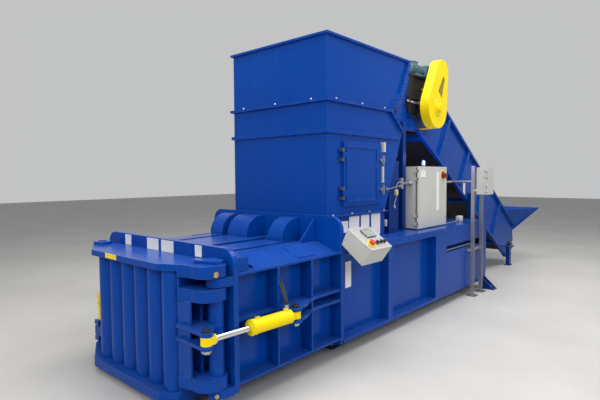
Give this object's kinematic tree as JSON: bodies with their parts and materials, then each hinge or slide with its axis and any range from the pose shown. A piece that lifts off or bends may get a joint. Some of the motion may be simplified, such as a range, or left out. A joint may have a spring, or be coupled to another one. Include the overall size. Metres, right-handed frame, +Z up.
{
  "type": "horizontal recycling baler",
  "caption": "Closed-door horizontal baler with a ribbed swing door, its cylinder, a tall feed hopper, an inclined feed conveyor, cabinet and console.",
  "frame": {"origin": "centre of the bounding box's floor face, on the floor under the machine", "axes": "+X from the bale door towards the feed conveyor, +Z up, -Y the side with the door's hinge and the console"},
  "size_m": [7.5566, 2.2124, 2.98],
  "materials": {
    "blue_paint": "gloss",
    "dark_blue_paint": "satin",
    "yellow_paint": "satin",
    "grey_paint": "satin",
    "motor_paint": "satin",
    "bright_steel": "brushed",
    "panel_steel": "brushed",
    "chrome_rod": "polished",
    "chain_steel": "matte",
    "black_rubber": "matte",
    "black_plastic": "matte",
    "red_plastic": "gloss",
    "dark_red_plastic": "gloss",
    "lens": "gloss"
  },
  "bodies": {
    "frame": {"base_rails": "dark_blue_paint", "chamber_floor": "dark_blue_paint", "chamber_side_near": "blue_paint", "chamber_side_far": "blue_paint", "door_end_flange": "blue_paint", "throat_flange": "blue_paint", "top_beams": "blue_paint", "gusset_fins": "blue_paint", "cylinder_lug": "blue_paint", "rear_side_near": "blue_paint", "rear_side_far": "blue_paint", "rear_floor": "dark_blue_paint", "deck": "blue_paint", "rear_bulkhead": "blue_paint", "anchor_feet": "dark_blue_paint", "lower_hopper": "blue_paint", "upper_hopper": "blue_paint", "hopper_bolts": "bright_steel", "access_hinges": "bright_steel", "interlock_switch": "grey_paint", "conveyor_frame": "blue_paint", "conveyor_bed": "dark_blue_paint", "conveyor_belt": "black_rubber", "conveyor_bearings": "chain_steel", "gearmotor": "motor_paint", "drive_chain": "chain_steel", "chain_guard": "yellow_paint", "loading_hopper": "blue_paint", "conveyor_legs": "blue_paint", "cabinet_body": "grey_paint", "beacon": "lens", "console_body": "grey_paint", "console_panel": "panel_steel", "strut_stand": "bright_steel", "junction_box": "grey_paint", "conduits": "bright_steel", "main_cylinder": "blue_paint", "hydraulic_unit": "dark_blue_paint", "hinge_pin": "bright_steel", "cylinder_hoses": "black_rubber"},
    "door": {"door_frame": "blue_paint", "door_ribs": "blue_paint", "door_arms": "blue_paint"},
    "door_cylinder": {"door_cylinder_barrel": "yellow_paint"},
    "door_rod": {"door_cylinder_rod": "chrome_rod"},
    "lock_pin": {"door_lock": "yellow_paint"},
    "ram": {"main_ram": "bright_steel"},
    "access_panel": {"access_door": "blue_paint"},
    "upper_latch": {"access_latch_upper": "bright_steel"},
    "lower_latch": {"access_latch_lower": "bright_steel"},
    "head_roller": {"head_pulley": "bright_steel"},
    "tail_roller": {"tail_pulley": "bright_steel"},
    "drive_sprocket": {"motor_sprocket": "bright_steel"},
    "cabinet_leaf": {"cabinet_door": "grey_paint"},
    "disconnect": {"disconnect_handle": "dark_red_plastic"},
    "stop_button": {"emergency_stop": "red_plastic"},
    "knob_left": {"selector_left": "black_plastic"},
    "knob_middle": {"selector_middle": "black_plastic"},
    "knob_right": {"selector_right": "black_plastic"},
    "box_leaf": {"junction_door": "grey_paint"}
  },
  "joints": [
    {"name": "door_hinge", "type": "hinge", "parent": "frame", "child": "door", "pos_m": [-3.52326, -0.70885, 0.55], "axis": [0, 0, 1], "range_deg": [0, 90]},
    {"name": "cylinder_swing", "type": "hinge", "parent": "frame", "child": "door_cylinder", "pos_m": [-2.90826, -0.86885, 0.55], "axis": [0, 0, 1], "range_deg": [0, 4.29]},
    {"name": "rod_slide", "type": "slide", "parent": "door_cylinder", "child": "door_rod", "axis": [0.998, -0.064, 0], "range_m": [0, 0.277]},
    {"name": "lock_slide", "type": "slide", "parent": "frame", "child": "lock_pin", "axis": [0, 0, -1], "range_m": [0, 0.14]},
    {"name": "ram_slide", "type": "slide", "parent": "frame", "child": "ram", "axis": [-1, 0, 0], "range_m": [0, 1.15]},
    {"name": "access_hinge", "type": "hinge", "parent": "frame", "child": "access_panel", "pos_m": [-1.92726, -0.59485, 1.597], "axis": [0, 0, -1], "range_deg": [0, 110]},
    {"name": "upper_latch_turn", "type": "hinge", "parent": "access_panel", "child": "upper_latch", "pos_m": [-1.28126, -0.61385, 1.737], "axis": [0, 1, 0], "range_deg": [0, 90]},
    {"name": "lower_latch_turn", "type": "hinge", "parent": "access_panel", "child": "lower_latch", "pos_m": [-1.28126, -0.61385, 1.437], "axis": [0, 1, 0], "range_deg": [0, 90]},
    {"name": "head_spin", "type": "hinge", "parent": "frame", "child": "head_roller", "pos_m": [-0.14326, 0.06615, 2.39], "axis": [0, 1, 0], "continuous": true},
    {"name": "tail_spin", "type": "hinge", "parent": "frame", "child": "tail_roller", "pos_m": [3.32826, 0.06615, 0.3041], "axis": [0, 1, 0], "continuous": true},
    {"name": "motor_spin", "type": "hinge", "parent": "frame", "child": "drive_sprocket", "pos_m": [-0.04326, -0.63385, 2.85], "axis": [0, 1, 0], "continuous": true},
    {"name": "cabinet_hinge", "type": "hinge", "parent": "frame", "child": "cabinet_leaf", "pos_m": [-0.55326, -0.64085, 1.324], "axis": [0, 0, -1], "range_deg": [0, 115]},
    {"name": "disconnect_turn", "type": "hinge", "parent": "cabinet_leaf", "child": "disconnect", "pos_m": [0.09674, -0.64885, 1.584], "axis": [0, 1, 0], "range_deg": [0, 90]},
    {"name": "stop_push", "type": "slide", "parent": "frame", "child": "stop_button", "axis": [0, 0.5515, -0.8342], "range_m": [0, 0.006], "stiffness_N_per_m": 4000},
    {"name": "left_turn", "type": "hinge", "parent": "frame", "child": "knob_left", "pos_m": [-2.06726, -1.05345, 1.01923], "axis": [0, -0.5515, 0.8342], "range_deg": [-45, 45]},
    {"name": "middle_turn", "type": "hinge", "parent": "frame", "child": "knob_middle", "pos_m": [-2.00726, -1.05345, 1.01923], "axis": [0, -0.5515, 0.8342], "range_deg": [-45, 45]},
    {"name": "right_turn", "type": "hinge", "parent": "frame", "child": "knob_right", "pos_m": [-1.95226, -1.05345, 1.01923], "axis": [0, -0.5515, 0.8342], "range_deg": [-45, 45]},
    {"name": "box_door_hinge", "type": "hinge", "parent": "frame", "child": "box_leaf", "pos_m": [0.60874, -1.02015, 1.505], "axis": [0, 0, -1], "range_deg": [0, 120]}
  ],
  "couplings": [
    {"joint": "cylinder_swing", "follows": "door_hinge", "ratio": 0.047056},
    {"joint": "rod_slide", "follows": "door_hinge", "m_per_rad": 0.17607},
    {"joint": "tail_spin", "follows": "head_spin", "ratio": 1.5},
    {"joint": "motor_spin", "follows": "head_spin", "ratio": 2.3333}
  ]
}
